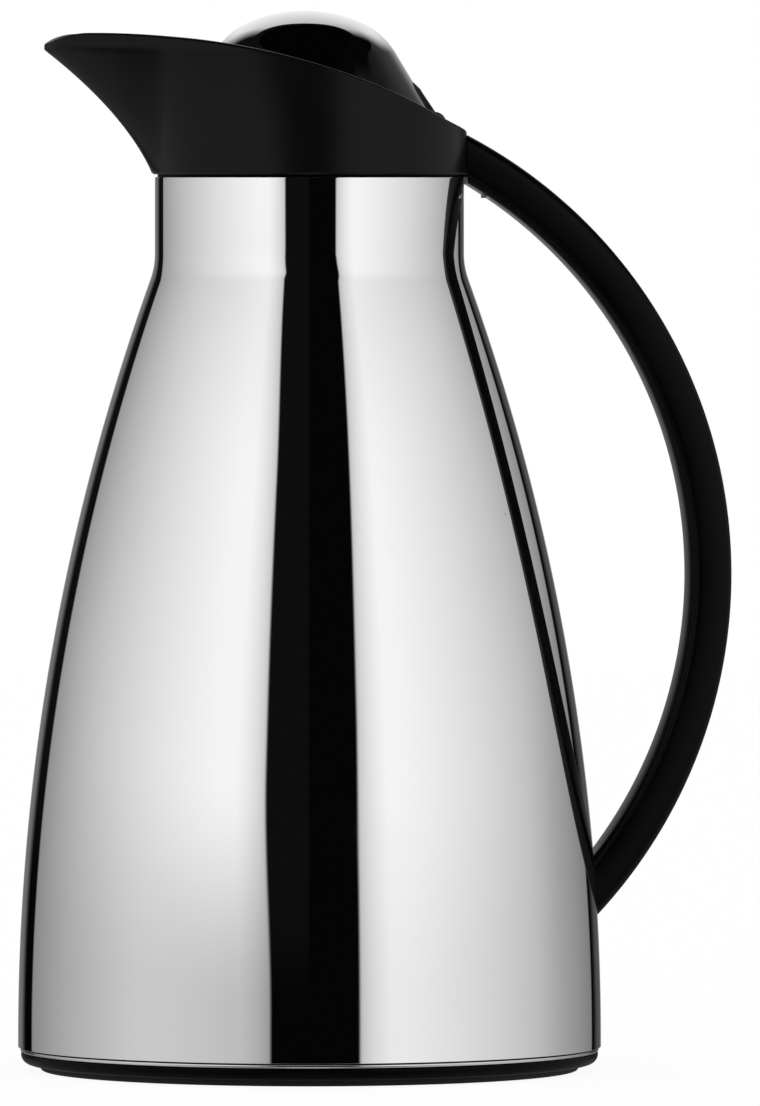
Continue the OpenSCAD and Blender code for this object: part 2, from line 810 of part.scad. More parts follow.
module lid_seal() {
    color(silicone)
    ring(seal_r, mouth_r - 0.8 + fit, seal_z, plug_flange_z);
}

module plug_screws() {
    color(steel)
    at_screws() {
        translate([0, 0, plug_z + plug_wall + 2])
            cylinder(r = plug_screw_r, h = plate_top - plug_z - plug_wall - 1.5);
        translate([0, 0, plate_top]) cylinder(r = 2 * plug_screw_r, h = 1.6);
    }
}

// ---- Handle ----

// The bow's middle line runs through one point at each screw
bow_mid = bow_r - bow_t / 2;
bow_top = [top_screw_x, neck_top - bow_drop];
bow_low = [low_screw_x + bow_stand, low_screw_z];
bow_chord = bow_top - bow_low;
bow_depth = sqrt(pow(bow_mid, 2) - pow(norm(bow_chord) / 2, 2));
bow_centre = (bow_top + bow_low) / 2
    + [-bow_chord[1], bow_chord[0]] / norm(bow_chord) * bow_depth;

// The bow runs on past both screws before it is trimmed, in degrees
bow_spare = 8;
function bow_angle(p) = atan2(p[1] - bow_centre[1], p[0] - bow_centre[0]);
bow_start = bow_angle(bow_low) - bow_spare;
bow_sweep = bow_angle(bow_top) - bow_start + bow_spare;

module round_bar(t, w, r) {
    union() {
        square([t - 2 * r, w], center = true);
        square([t, w - 2 * r], center = true);
        for (sx = [-1, 1], sy = [-1, 1])
            translate([sx * (t / 2 - r), sy * (w / 2 - r)]) circle(r = r);
    }
}

head_h = 2;
head_sink = 3.2;        // how deep the upper screw's head lies in the handle
hole_spare = 0.5;
top_head_z = bow_centre[1] + sqrt(pow(bow_r - bow_t, 2) - pow(top_screw_x - bow_centre[0], 2))
    + head_sink;

module handle() {
    color(black)
    difference() {
        translate([bow_centre[0], 0, bow_centre[1]])
            rotate([90, 0, 0])
                rotate([0, 0, bow_start])
                    rotate_extrude(angle = bow_sweep)
                        translate([bow_mid, 0]) round_bar(bow_t, bow_w, bow_round);
        // trimmed to the collar above and the shell below
        translate([0, 0, fillet_z]) cylinder(r = collar_r + bow_gap + fit, h = far);
        shell_space(-bow_gap, neck_top);
        // slot for the bracket's tab, and the screws
        translate([0, -tab_w / 2 - fit, neck_top - fit])
            cube([tab_len + 0.5, tab_w + 2 * fit, bracket_t + 2 * fit]);
        translate([top_screw_x, 0, top_head_z - far]) cylinder(r = 2 * screw_r, h = far);
        translate([top_screw_x, 0, top_head_z])
            cylinder(r = screw_r + fit / 2, h = screw_bite + hole_spare);
        rod_x(screw_r + fit / 2, low_head_x, low_screw_x + screw_bite + hole_spare, low_screw_z);
    }
}

module lower_bracket() {
    color(steel)
    difference() {
        intersection() {
            shell_space(shell_wall, neck_top);
            translate([0, -doubler_w / 2, low_screw_z - doubler_h / 2])
                cube([far, doubler_w, doubler_h]);
        }
        shell_space(shell_wall + doubler_t, far);
        rod_x(screw_r + screw_hole, low_head_x, low_screw_x + screw_bite, low_screw_z);
    }
}

module handle_screws() {
    color(steel) {
        rod_x(screw_r, low_head_x - 0.5, low_screw_x + screw_bite, low_screw_z);
        rod_x(2 * screw_r, low_head_x - head_h, low_head_x, low_screw_z);
        translate([top_screw_x, 0, top_head_z - 0.5]) cylinder(r = screw_r, h = screw_bite + 0.5);
        translate([top_screw_x, 0, top_head_z - head_h]) cylinder(r = 2 * screw_r - fit, h = head_h);
    }
}

body_shell();
trim_ring();
base_ring();
base_cap();
foot_gasket();
vacuum_flask();
flask_cushion();
flask_pad();
mouth_gasket();
neck_nut();
upper_bracket();
spout_collar();
throat_insert();
hinge_pin();
hinge_spring();
lid_base();
lid_dome();
lid_insulation();
lid_plug();
lid_seal();
plug_screws();
handle();
lower_bracket();
handle_screws();
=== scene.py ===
# Thermal carafe with a flip lid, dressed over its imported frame.
# Lengths are written in millimetres and made metres by mm; degrees are written as degrees.

import json
import math

import bpy
from mathutils import Matrix, Vector


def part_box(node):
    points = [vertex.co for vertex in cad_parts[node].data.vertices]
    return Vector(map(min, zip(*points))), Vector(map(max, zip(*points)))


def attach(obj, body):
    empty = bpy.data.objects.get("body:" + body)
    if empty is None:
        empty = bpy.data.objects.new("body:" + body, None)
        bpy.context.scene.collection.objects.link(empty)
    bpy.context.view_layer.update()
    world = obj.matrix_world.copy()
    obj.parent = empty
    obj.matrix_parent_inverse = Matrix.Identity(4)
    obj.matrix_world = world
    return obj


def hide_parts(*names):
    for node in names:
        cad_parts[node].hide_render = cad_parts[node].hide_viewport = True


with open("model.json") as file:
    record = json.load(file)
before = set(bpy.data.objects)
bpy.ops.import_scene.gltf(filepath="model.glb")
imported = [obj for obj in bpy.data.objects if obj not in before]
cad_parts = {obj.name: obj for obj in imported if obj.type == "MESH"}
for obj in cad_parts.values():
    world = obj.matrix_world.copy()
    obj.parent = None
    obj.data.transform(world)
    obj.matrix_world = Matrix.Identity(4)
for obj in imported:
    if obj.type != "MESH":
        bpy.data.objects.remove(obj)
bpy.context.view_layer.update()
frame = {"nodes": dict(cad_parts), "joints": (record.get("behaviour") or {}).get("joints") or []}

mm = 0.001


def low(node):
    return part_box(node)[0] / mm


def high(node):
    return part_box(node)[1] / mm


# ---- Shader maths ----

class Number:
    # A socket that carries one number, so that shader maths reads as Python

    def __init__(self, tree, socket):
        self.tree, self.socket = tree, socket

    def maths(self, operation, *values):
        made = self.tree.node("Math", {"operation": operation}, dict(enumerate(values)))
        return Number(self.tree, made.outputs[0])

    def __add__(self, other):
        return self.maths("ADD", self, other)

    def __sub__(self, other):
        return self.maths("SUBTRACT", self, other)

    def __rsub__(self, other):
        return self.maths("SUBTRACT", other, self)

    def __mul__(self, other):
        return self.maths("MULTIPLY", self, other)

    def __truediv__(self, other):
        return self.maths("DIVIDE", self, other)

    def __pow__(self, other):
        return self.maths("POWER", self, other)

    def __gt__(self, other):
        return self.maths("GREATER_THAN", self, other)

    def __abs__(self):
        return self.maths("ABSOLUTE", self)

    __radd__ = __add__
    __rmul__ = __mul__

    def degrees(self):
        return self.maths("DEGREES", self)

    def step(self, start, end, first=0.0, last=1.0):
        # Runs smoothly from first to last while the number goes from start to end
        made = self.tree.node("MapRange", {"interpolation_type": "SMOOTHSTEP"}, {
            "Value": self, "From Min": start, "From Max": end, "To Min": first, "To Max": last})
        return Number(self.tree, made.outputs["Result"])


class Tree:
    # The nodes of one material or of the world

    def __init__(self, owner):
        owner.use_nodes = True
        self.nodes, self.links = owner.node_tree.nodes, owner.node_tree.links
        self.nodes.clear()

    def node(self, kind, settings, inputs):
        made = self.nodes.new("ShaderNode" + kind)
        for name, setting in settings.items():
            setattr(made, name, setting)
        for name, value in inputs.items():
            if isinstance(value, Number):
                value = value.socket
            if isinstance(value, bpy.types.NodeSocket):
                self.links.new(value, made.inputs[name])
            else:
                made.inputs[name].default_value = value
        return made

    def number(self, kind, settings, inputs, output):
        return Number(self, self.node(kind, settings, inputs).outputs[output])

    def place(self):
        return self.node("TexCoord", {}, {}).outputs["Object"]

    def stretched(self, scale):
        return self.node("Mapping", {}, {"Vector": self.place(), "Scale": scale}).outputs[0]

    def noise(self, place, size, detail=2.0, roughness=0.5):
        # Size is the width of the largest blots in millimetres
        return self.number("TexNoise", {}, {
            "Vector": place, "Scale": 1 / (size * mm), "Detail": detail,
            "Roughness": roughness}, "Fac")

    def specks(self, place, spacing, radius):
        # 1 in the middle of sparse round specks, 0 away from them
        away = self.number("TexVoronoi", {}, {
            "Vector": place, "Scale": 1 / (spacing * mm), "Randomness": 1.0}, "Distance")
        return away.step(0.0, radius / spacing, 1.0, 0.0)

    def blend(self, share, first, second):
        made = self.node("Mix", {"data_type": "RGBA"}, {0: share, 6: first, 7: second})
        return made.outputs[2]

    def relief(self, height, depth, under=None):
        # Height runs from 0 to 1 over depth in millimetres
        inputs = {"Height": height, "Distance": depth * mm, "Strength": 1.0}
        if under is not None:
            inputs["Normal"] = under
        return self.node("Bump", {}, inputs).outputs[0]

    def shaded(self, inputs):
        surface = self.node("BsdfPrincipled", {}, inputs)
        self.node("OutputMaterial", {}, {"Surface": surface.outputs[0]})


def grey(level):
    return (level, level, level, 1.0)


# ---- Materials ----

def polishedSteel():
    look = {
        "clean": grey(0.91), "handled": (0.875, 0.877, 0.88, 1), "roughness": 0.02,
        "smudge": 0.03, "smudgeSize": 38, "smudgeTint": 0.6,
        "hairline": 0.01, "hairlineSize": 0.6, "hairlineStretch": (1, 1, 0.05),
        "nickSpacing": 31, "nickRadius": 0.55, "nickDepth": -0.05,
        "waveSize": 60, "waveDepth": 0.03,
    }
    material = bpy.data.materials.new("polishedSteel")
    tree = Tree(material)
    place = tree.place()
    upright = tree.stretched(look["hairlineStretch"])
    smudge = tree.noise(place, look["smudgeSize"], 4.0, 0.6).step(0.52, 0.78)
    hairline = tree.noise(upright, look["hairlineSize"], 2.0).step(0.6, 0.75)
    nick = tree.specks(place, look["nickSpacing"], look["nickRadius"])
    wave = tree.noise(place, look["waveSize"], 1.0)
    tree.shaded({
        "Base Color": tree.blend(smudge * look["smudgeTint"], look["clean"], look["handled"]),
        "Metallic": 1.0,
        "Roughness": look["roughness"] + smudge * look["smudge"] + hairline * look["hairline"],
        "Normal": tree.relief(nick, look["nickDepth"], tree.relief(wave, look["waveDepth"])),
    })
    return material


def plainSteel(name, look):
    # Look gives both colours and the roughness; the grain runs along Y and stains lie over it
    grained = {"size": 0.5, "stretch": (1, 0.08, 1), "gloss": 0.12, "depth": 0.01}
    stained = {"size": 12, "gloss": 0.1}
    material = bpy.data.materials.new(name)
    tree = Tree(material)
    grain = tree.noise(tree.stretched(grained["stretch"]), grained["size"], 3.0)
    stain = tree.noise(tree.place(), stained["size"], 3.0).step(0.45, 0.8)
    tree.shaded({
        "Base Color": tree.blend(stain, look["bright"], look["dull"]),
        "Metallic": 1.0,
        "Roughness": look["roughness"] + grain * grained["gloss"] + stain * stained["gloss"],
        "Normal": tree.relief(grain, grained["depth"]),
    })
    return material


def blackPlastic(name, look):
    # Moulded plastic: fine grain, slightly uneven gloss, paler where hands rub it
    uneven = {"cloudSize": 26, "cloudGloss": 0.06, "grainGloss": 0.05}
    material = bpy.data.materials.new(name)
    tree = Tree(material)
    place = tree.place()
    grain = tree.noise(place, look["grainSize"], 3.0, 0.6)
    cloud = tree.noise(place, uneven["cloudSize"], 3.0, 0.55)
    gloss = cloud * uneven["cloudGloss"] + grain * uneven["grainGloss"]
    tree.shaded({
        "Base Color": tree.blend(cloud.step(0.3, 0.75), look["dark"], look["light"]),
        "Roughness": look["roughness"] + gloss,
        "IOR": 1.47,
        "Specular IOR Level": look["specular"],
        "Normal": tree.relief(grain, look["grainDepth"]),
    })
    return material


def silveredGlass():
    look = {
        "silver": (0.86, 0.88, 0.89, 1), "stain": (0.7, 0.69, 0.66, 1),
        "roughness": 0.03, "stainSize": 30, "stainStretch": (1, 1, 0.35), "stainGloss": 0.06,
        "coatRoughness": 0.01, "waveSize": 16, "waveDepth": 0.05,
    }
    material = bpy.data.materials.new("silveredGlass")
    tree = Tree(material)
    cloud = tree.noise(tree.stretched(look["stainStretch"]), look["stainSize"], 4.0, 0.6)
    stain = cloud.step(0.5, 0.8)
    wave = tree.noise(tree.place(), look["waveSize"], 2.0)
    tree.shaded({
        "Base Color": tree.blend(stain, look["silver"], look["stain"]),
        "Metallic": 1.0,
        "Roughness": look["roughness"] + stain * look["stainGloss"],
        "Coat Weight": 1.0,
        "Coat Roughness": look["coatRoughness"],
        "Normal": tree.relief(wave, look["waveDepth"]),
    })
    return material


def blackRubber():
    look = {
        "bare": grey(0.014), "dusty": grey(0.03), "roughness": 0.68, "specular": 0.35,
        "dustSize": 7, "dustGloss": 0.15, "grainSize": 0.4, "grainDepth": 0.04,
    }
    material = bpy.data.materials.new("blackRubber")
    tree = Tree(material)
    grain = tree.noise(tree.place(), look["grainSize"], 4.0, 0.7)
    dust = tree.noise(tree.place(), look["dustSize"], 4.0).step(0.5, 0.8)
    tree.shaded({
        "Base Color": tree.blend(dust, look["bare"], look["dusty"]),
        "Roughness": look["roughness"] + dust * look["dustGloss"],
        "Specular IOR Level": look["specular"],
        "Normal": tree.relief(grain, look["grainDepth"]),
    })
    return material


def clearSilicone():
    look = {
        "clear": (0.66, 0.66, 0.64, 1), "cloudy": (0.56, 0.56, 0.53, 1),
        "roughness": 0.38, "cloudSize": 9, "cloudGloss": 0.12,
        "scatter": 0.2, "scatterDepth": 2, "grainSize": 0.8, "grainDepth": 0.01,
    }
    material = bpy.data.materials.new("clearSilicone")
    tree = Tree(material)
    cloud = tree.noise(tree.place(), look["cloudSize"], 3.0)
    grain = tree.noise(tree.place(), look["grainSize"], 3.0)
    tree.shaded({
        "Base Color": tree.blend(cloud, look["clear"], look["cloudy"]),
        "Roughness": look["roughness"] + cloud * look["cloudGloss"],
        "Subsurface Weight": look["scatter"],
        "Subsurface Scale": look["scatterDepth"] * mm,
        "Normal": tree.relief(grain, look["grainDepth"]),
    })
    return material


def whiteFoam():
    # Beads of foam pressed together, with darker seams between them
    look = {
        "seam": (0.72, 0.71, 0.67, 1), "bead": (0.87, 0.86, 0.82, 1), "roughness": 0.9,
        "beadGloss": 0.12, "beadSize": 2.6, "seamWidth": 0.16, "beadDepth": 0.25,
    }
    material = bpy.data.materials.new("whiteFoam")
    tree = Tree(material)
    seam = tree.number("TexVoronoi", {"feature": "DISTANCE_TO_EDGE"}, {
        "Vector": tree.place(), "Scale": 1 / (look["beadSize"] * mm)}, "Distance")
    bead = seam.step(0.0, look["seamWidth"])
    tree.shaded({
        "Base Color": tree.blend(bead, look["seam"], look["bead"]),
        "Roughness": look["roughness"] - bead * look["beadGloss"],
        "Normal": tree.relief(bead, look["beadDepth"]),
    })
    return material


steel = polishedSteel()
dullSteel = plainSteel("plainSteel", {
    "bright": (0.66, 0.67, 0.69, 1), "dull": (0.5, 0.5, 0.52, 1), "roughness": 0.26})
trimSteel = plainSteel("trimSteel", {
    "bright": grey(0.8), "dull": grey(0.74), "roughness": 0.08})
# Near-black steel for the upper bracket: painted shade, standing for the shadow in the thin groove
# between the neck and the collar
paintedShadeSteel = plainSteel("paintedShadeSteel", {
    "bright": grey(0.004), "dull": grey(0.002), "roughness": 0.5})
collarPlastic = blackPlastic("collarPlastic", {
    "dark": grey(0.002), "light": grey(0.003), "roughness": 0.24, "specular": 0.165,
    "grainSize": 0.35, "grainDepth": 0.006})
handlePlastic = blackPlastic("handlePlastic", {
    "dark": grey(0.0008), "light": grey(0.0014), "roughness": 0.24, "specular": 0.1,
    "grainSize": 0.4, "grainDepth": 0.006})
footPlastic = blackPlastic("footPlastic", {
    "dark": grey(0.0012), "light": grey(0.002), "roughness": 0.26, "specular": 0.06,
    "grainSize": 0.5, "grainDepth": 0.006})
innerPlastic = blackPlastic("innerPlastic", {
    "dark": grey(0.005), "light": grey(0.008), "roughness": 0.4, "specular": 0.4,
    "grainSize": 0.3, "grainDepth": 0.01})
glass = silveredGlass()
rubber = blackRubber()
silicone = clearSilicone()
foam = whiteFoam()
print("materials ready")


# ---- Tools of the bench ----

def deselect():
    if bpy.context.mode != "OBJECT":
        bpy.ops.object.mode_set(mode="OBJECT")
    bpy.ops.object.select_all(action="DESELECT")


def pick(piece):
    deselect()
    piece.select_set(True)
    bpy.context.view_layer.objects.active = piece


def editAll():
    bpy.ops.object.mode_set(mode="EDIT")
    bpy.ops.mesh.select_mode(type="VERT")
    bpy.ops.mesh.select_all(action="SELECT")


doublesWithin = 0.002        # vertices this close are one
axisWithin = 0.001           # and this close to the axis they lie on it
roundBelow = 32              # edges below this angle are shaded smooth


def smoothed(piece, angle=roundBelow):
    pick(piece)
    bpy.ops.object.shade_smooth_by_angle(angle=math.radians(angle))


def closeUp(piece, smoothAngle=roundBelow):
    # Merges doubles, turns the faces outwards and smooths what is round
    pick(piece)
    editAll()
    bpy.ops.mesh.remove_doubles(threshold=doublesWithin * mm)
    bpy.ops.mesh.normals_make_consistent(inside=False)
    bpy.ops.object.mode_set(mode="OBJECT")
    bpy.ops.object.transform_apply(location=True, rotation=True, scale=True)
    smoothed(piece, smoothAngle)


def finishWith(piece, kind, **settings):
    modifier = piece.modifiers.new(kind.lower(), kind)
    for name, value in settings.items():
        setattr(modifier, name, value)
    pick(piece)
    bpy.ops.object.modifier_apply(modifier=modifier.name)


def cutAway(piece, *cutters):
    for cutter in cutters:
        finishWith(piece, "BOOLEAN", operation="DIFFERENCE", solver="EXACT", object=cutter)
        bpy.data.objects.remove(cutter)


def rounded(corners, steps=5):
    # Corners are (radius, height, rounding); the result is an outline of (radius, height)
    outline = []
    for i, (r, z, rounding) in enumerate(corners):
        here = Vector((r, z))
        if rounding == 0:
            outline.append((r, z))
            continue
        back = (Vector(corners[i - 1][:2]) - here).normalized()
        on = (Vector(corners[(i + 1) % len(corners)][:2]) - here).normalized()
        half = back.angle(on) / 2
        centre = here + (back + on).normalized() * rounding / math.sin(half)
        start = here + back * rounding / math.tan(half) - centre
        turn = start.angle_signed(here + on * rounding / math.tan(half) - centre)
        for k in range(steps + 1):
            a = -turn * k / steps
            outline.append((centre.x + start.x * math.cos(a) - start.y * math.sin(a),
                            centre.y + start.x * math.sin(a) + start.y * math.cos(a)))
    return outline


def turned(name, outline, turns=192, axisX=0.0):
    # A ring of points laid along the closed outline and swept round the axis
    deselect()
    bpy.ops.mesh.primitive_circle_add(vertices=len(outline), radius=mm)
    piece = bpy.context.object
    piece.name = piece.data.name = name
    for vertex, (r, z) in zip(piece.data.vertices, outline):
        vertex.co = (r * mm, 0, z * mm)
    finishWith(piece, "SCREW", steps=turns, render_steps=turns, use_merge_vertices=True,
               merge_threshold=axisWithin * mm)
    piece.location = (axisX * mm, 0, 0)
    closeUp(piece)
    return piece


def dressed(piece, material, body, slot, *nodes):
    piece.data.materials.clear()
    piece.data.materials.append(material)
    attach(piece, body)
    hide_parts(*nodes)
    print("made", piece.name, len(piece.data.polygons), "faces")


# ---- Outline of the shell ----

shellSizes = {
    "bellyZ": 8, "shoulderZ": 211.95, "hollow": 20, "hollowRun": 8, "neckR": 40.1, "wall": 0.8,
    "throatR": 35.1, "lip": 0.3, "lipRows": (0.4, 0.15, 0),
    "hemGap": 0.15, "hemTurn": 0.03, "hemRows": (0.03, 0.2, 0.6, 1.0), "hemTop": 1.6,
    "sideRows": 84, "hollowRows": 16, "innerRows": 20, "neckRows": 6,
}
bellyR = high("body_shell").x
neckR = shellSizes["neckR"]
neckTop = high("body_shell").z
shellLow = low("body_shell").z


def sideArc():
    rise = shellSizes["shoulderZ"] - shellSizes["bellyZ"]
    hollow = shellSizes["hollow"]
    return (rise ** 2 + (bellyR - neckR - hollow) ** 2 - hollow ** 2) / (2 * (bellyR - neckR))


def shellAt(z):
    # Radius of the shell: a long arc, a hollow and the straight neck
    arc, hollow = sideArc(), shellSizes["hollow"]
    bellyZ, shoulderZ = shellSizes["bellyZ"], shellSizes["shoulderZ"]
    joinZ = bellyZ + (shoulderZ - bellyZ) * arc / (arc + hollow)
    if z < joinZ:
        return bellyR - arc + math.sqrt(arc ** 2 - (z - bellyZ) ** 2)
    if z < shoulderZ:
        return neckR + hollow - math.sqrt(hollow ** 2 - (shoulderZ - z) ** 2)
    return neckR


def evenly(start, end, count):
    return [start + (end - start) * i / count for i in range(count + 1)]


def shellSide(inset, rows):
    hollowZ = shellSizes["shoulderZ"] - shellSizes["hollowRun"]
    heights = evenly(shellLow, hollowZ, rows)
    heights += evenly(hollowZ, shellSizes["shoulderZ"], shellSizes["hollowRows"])[1:]
    return [(shellAt(z) - inset, z) for z in heights]


def makeShell():
    wall, lip = shellSizes["wall"], shellSizes["lip"]
    outer = shellSide(0, shellSizes["sideRows"])
    inner = shellSide(wall, shellSizes["innerRows"])
    hemR, hemZ = shellAt(shellLow), high("trim_ring").z + shellSizes["hemGap"]
    hem = [(hemR - wall / 2, hemZ), (hemR - shellSizes["hemTurn"], hemZ)]
    hem += [(hemR, hemZ + rise) for rise in shellSizes["hemRows"]]
    hem += [(r, z) for r, z in outer if z > shellLow + shellSizes["hemTop"]]
    neckRows = evenly(shellSizes["shoulderZ"], neckTop - lip - 1, shellSizes["neckRows"])[1:]
    neck = [(neckR, z) for z in neckRows]
    neck += [(neckR, neckTop - lip - drop) for drop in shellSizes["lipRows"]]
    edge = [(neckR - lip + lip * math.cos(a), neckTop - lip + lip * math.sin(a))
            for a in (math.radians(15 * k) for k in range(1, 7))]
    mouth = [(shellSizes["throatR"], neckTop), (shellSizes["throatR"], neckTop - wall),
             (neckR - wall, neckTop - wall)]
    shell = turned("shell", hem + neck + edge + mouth + inner[::-1], 256)
    dressed(shell, steel, "body", "polished_steel", "body_shell")


makeShell()


# ---- Foot ----

footSizes = {
    "round": 2.5, "topGap": 0.1, "topInset": 0.2, "stemR": 72.6, "stemWall": 2.4,
    "stemGap": 1.1, "grooveDepth": 0.9, "beadDepth": 2.4,
    "hubR": 59.4, "hubTop": 9.4, "threadR": 57,
    "gasketR": 68, "gasketW": 3.8, "gasketRound": 0.8, "slotGap": 0.1,
}


def makeFoot():
    footR, footLow = high("trim_ring").x, low("base_ring").z
    beadLow, beadHigh, stemTop = low("trim_ring").z, high("trim_ring").z, high("base_ring").z
    stemR, stemOut = footSizes["stemR"], shellAt(stemTop) - footSizes["stemGap"]
    stemIn, ringTop = stemR - footSizes["stemWall"], beadLow - footSizes["topGap"]
    grooveR = shellAt(beadHigh) - footSizes["grooveDepth"]
    hubR, hubTop, threadR = footSizes["hubR"], footSizes["hubTop"], footSizes["threadR"]
    slotR, slotTop = footSizes["gasketR"], high("foot_gasket").z
    slotHalf = footSizes["gasketW"] / 2 + footSizes["slotGap"]
    outline = rounded([
        (footR - footSizes["topInset"], ringTop, 0.3), (stemR, ringTop, 0), (stemR, beadHigh, 0),
        (grooveR, beadHigh, 0), (grooveR, shellLow, 0), (stemOut, shellLow, 0),
        (stemOut, stemTop, 0.5), (stemIn, stemTop, 0.5), (stemIn, beadLow, 0.8),
        (hubR, beadLow, 0.8), (hubR, hubTop, 0.6), (threadR, hubTop, 0.4), (threadR, footLow, 0.5),
        (slotR - slotHalf, footLow, 0.2), (slotR - slotHalf, slotTop, 0),
        (slotR + slotHalf, slotTop, 0), (slotR + slotHalf, footLow, 0.2),
        (footR, footLow, footSizes["round"]),
    ], 8)
    foot = turned("footRing", outline, 224)
    dressed(foot, footPlastic, "body", "black_plastic", "base_ring")


def makeBead():
    footR = high("trim_ring").x
    beadLow, beadHigh = low("trim_ring").z, high("trim_ring").z
    half = (beadHigh - beadLow) / 2
    bead = [(footR - half + half * math.cos(a), beadLow + half + half * math.sin(a))
            for a in (math.radians(15 * k) for k in range(-6, 7))]
    beadIn = footR - footSizes["beadDepth"]
    trim = turned("trimBead", bead + [(beadIn, beadHigh), (beadIn, beadLow)], 256)
    dressed(trim, trimSteel, "body", "polished_steel", "trim_ring")


def makeFootGasket():
    middle, half, top = footSizes["gasketR"], footSizes["gasketW"] / 2, high("foot_gasket").z
    soft = turned("footGasket", rounded([
        (middle - half, 0, footSizes["gasketRound"]), (middle + half, 0, footSizes["gasketRound"]),
        (middle + half, top, 0), (middle - half, top, 0)]), 160)
    dressed(soft, rubber, "body", "black_rubber", "foot_gasket")


makeFoot()
makeBead()
makeFootGasket()


def makeCap():
    # Screwed bottom plate: a dish with a bar across it for the fingers
    cap = {"dishR": 22, "dishDepth": 1.2, "dishSlope": 2, "wall": 2.4, "round": 0.6,
           "barLength": 43, "barWidth": 4, "barSunk": 0.1, "barRound": 0.5}
    capR, capLow, capTop = high("base_cap").x, low("base_cap").z, high("base_cap").z
    dishR, dishTop, wall = cap["dishR"], capLow + cap["dishDepth"], cap["wall"]
    plate = turned("bottomPlate", rounded([
        (0, dishTop, 0), (dishR - cap["dishSlope"], dishTop, 1.0), (dishR, capLow, 1.0),
        (capR, capLow, cap["round"]), (capR, capTop, cap["round"]),
        (capR - wall, capTop, cap["round"]), (capR - wall, capLow + wall, 1.2),
        (0, capLow + wall, 0)]), 160)
    deselect()
    barTop = dishTop + cap["barSunk"]
    bpy.ops.mesh.primitive_cube_add(size=1, location=(0, 0, (capLow + barTop) / 2 * mm))
    bar = bpy.context.object
    bar.scale = (cap["barLength"] * mm, cap["barWidth"] * mm, (barTop - capLow) * mm)
    bpy.ops.object.transform_apply(scale=True)
    finishWith(bar, "BEVEL", width=cap["barRound"] * mm, segments=3)
    pick(plate)
    bar.select_set(True)
    bpy.ops.object.join()
    bpy.ops.object.transform_apply(location=True)
    smoothed(plate)
    dressed(plate, footPlastic, "body", "black_plastic", "base_cap")


makeCap()
print("shell and foot ready")


# ---- Collar with beak ----

collarSizes = {
    "radius": 40.8, "wall": 2.4, "edge": 0.9, "throatR": 35.1,
    "ledge": 1.6, "ledgeGap": 0.8, "footRise": 0.5,
    "lean": 0.46, "curl": 0.013, "reachHeight": 32.2,
    "topAngle": 32, "rootAngle": 14, "frontShare": 0.28,
    "rimArc": 204, "peakX": 60, "rimRise": 36.5, "tipDrop": 2.2, "tipLength": 9,
    "rearLift": 1.6, "rearLength": 12, "turns": 240, "rows": 36, "innerRows": 30,
}
collarLow = low("spout_collar").z


def collarReach(height):
    h = min(max(height, 0), collarSizes["reachHeight"])
    return collarSizes["lean"] * h + collarSizes["curl"] * h * h


def beakShare(angle, height):
    # Share of the reach at an angle from the beak: a broad swell and a narrow beak
    part = min(max(height, 0), collarSizes["reachHeight"]) / collarSizes["reachHeight"]
    half = collarSizes["rootAngle"] + (collarSizes["topAngle"] - collarSizes["rootAngle"]) * part
    swell = math.cos(math.radians(angle)) ** 2 if angle < 90 else 0
    beak = (1 + math.cos(math.pi * angle / half)) / 2 if angle < half else 0
    return collarSizes["frontShare"] * swell + (1 - collarSizes["frontShare"]) * beak


def collarAt(angle, z):
    return collarSizes["radius"] + collarReach(z - collarLow) * beakShare(angle, z - collarLow)


def rimAt(x):
    peakZ, arc = collarLow + collarSizes["rimRise"], collarSizes["rimArc"]
    drop = max(0, -x - collarSizes["peakX"]) / collarSizes["tipLength"]
    lift = max(0, x - collarSizes["radius"] + collarSizes["rearLength"]) / collarSizes["rearLength"]
    return (peakZ - arc + math.sqrt(arc ** 2 - (x + collarSizes["peakX"]) ** 2)
            - collarSizes["tipDrop"] * drop ** 2 + collarSizes["rearLift"] * lift ** 2)


def rimHeight(angle):
    # The rim's height depends on how far out it lies, so it is found in rounds
    z = collarLow + collarSizes["rimRise"] * 2 / 3
    for _ in range(12):
        z = rimAt(-collarAt(angle, z) * math.cos(math.radians(angle)))
    return z


def collarSection(angle):
    # Closed section of the wall at an angle from the beak, as (radius, height)
    top, wall, edge = rimHeight(angle), collarSizes["wall"], collarSizes["edge"]
    radius, throatR, gap = collarSizes["radius"], collarSizes["throatR"], collarSizes["ledgeGap"]
    ledgeZ, footRise = collarLow + collarSizes["ledge"], collarSizes["footRise"]
    outerZ = evenly(collarLow + footRise, top - edge, collarSizes["rows"])
    innerZ = evenly(top - edge, ledgeZ + gap, collarSizes["innerRows"])
    section = [(collarAt(angle, z), z) for z in outerZ]
    outerR = collarAt(angle, top) - edge
    section += [(outerR + edge * math.cos(a), top - edge + edge * math.sin(a))
                for a in (math.radians(22.5 * k) for k in range(1, 5))]
    innerR = collarAt(angle, top) - wall + edge
    section += [(innerR - edge * math.sin(a), top - edge + edge * math.cos(a))
                for a in (math.radians(22.5 * k) for k in range(0, 4))]
    section += [(collarAt(angle, z) - wall, z) for z in innerZ]
    return section + [(radius - wall - gap, ledgeZ), (throatR, ledgeZ),
                      (throatR, collarLow), (radius - footRise, collarLow)]


